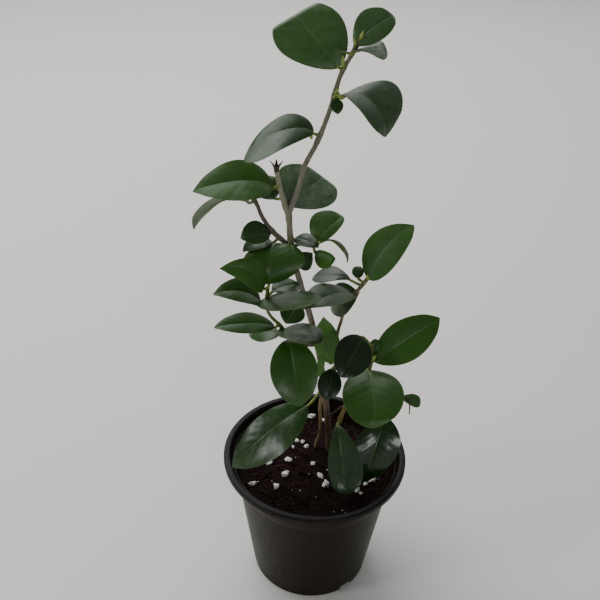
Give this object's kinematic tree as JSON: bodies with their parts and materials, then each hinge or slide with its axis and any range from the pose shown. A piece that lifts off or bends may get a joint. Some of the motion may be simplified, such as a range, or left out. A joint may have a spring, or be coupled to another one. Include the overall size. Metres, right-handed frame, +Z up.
{
  "type": "potted camellia",
  "caption": "Young leafy camellia with glossy oval leaves on thin woody stems, in a round tapered black nursery pot of potting mix.",
  "frame": {"origin": "centre of the pot's underside, on the surface that it stands on", "axes": "+Z up along the pot's axis, -Y towards the plant's front as pictured, +X to the front's right"},
  "size_m": [0.1839, 0.15, 0.4826],
  "materials": {
    "black_plastic": "satin black moulded plastic",
    "potting_mix": "dark crumbly coco and peat mix with white perlite",
    "camellia_leaf": "waxy dark green leaves on grey-brown bark"
  },
  "bodies": {
    "root": {"pot": "black_plastic", "potting_mix": "potting_mix", "main_leafy_stem": "camellia_leaf", "side_leafy_stem": "camellia_leaf", "low_leafy_stem": "camellia_leaf"}
  },
  "joints": []
}
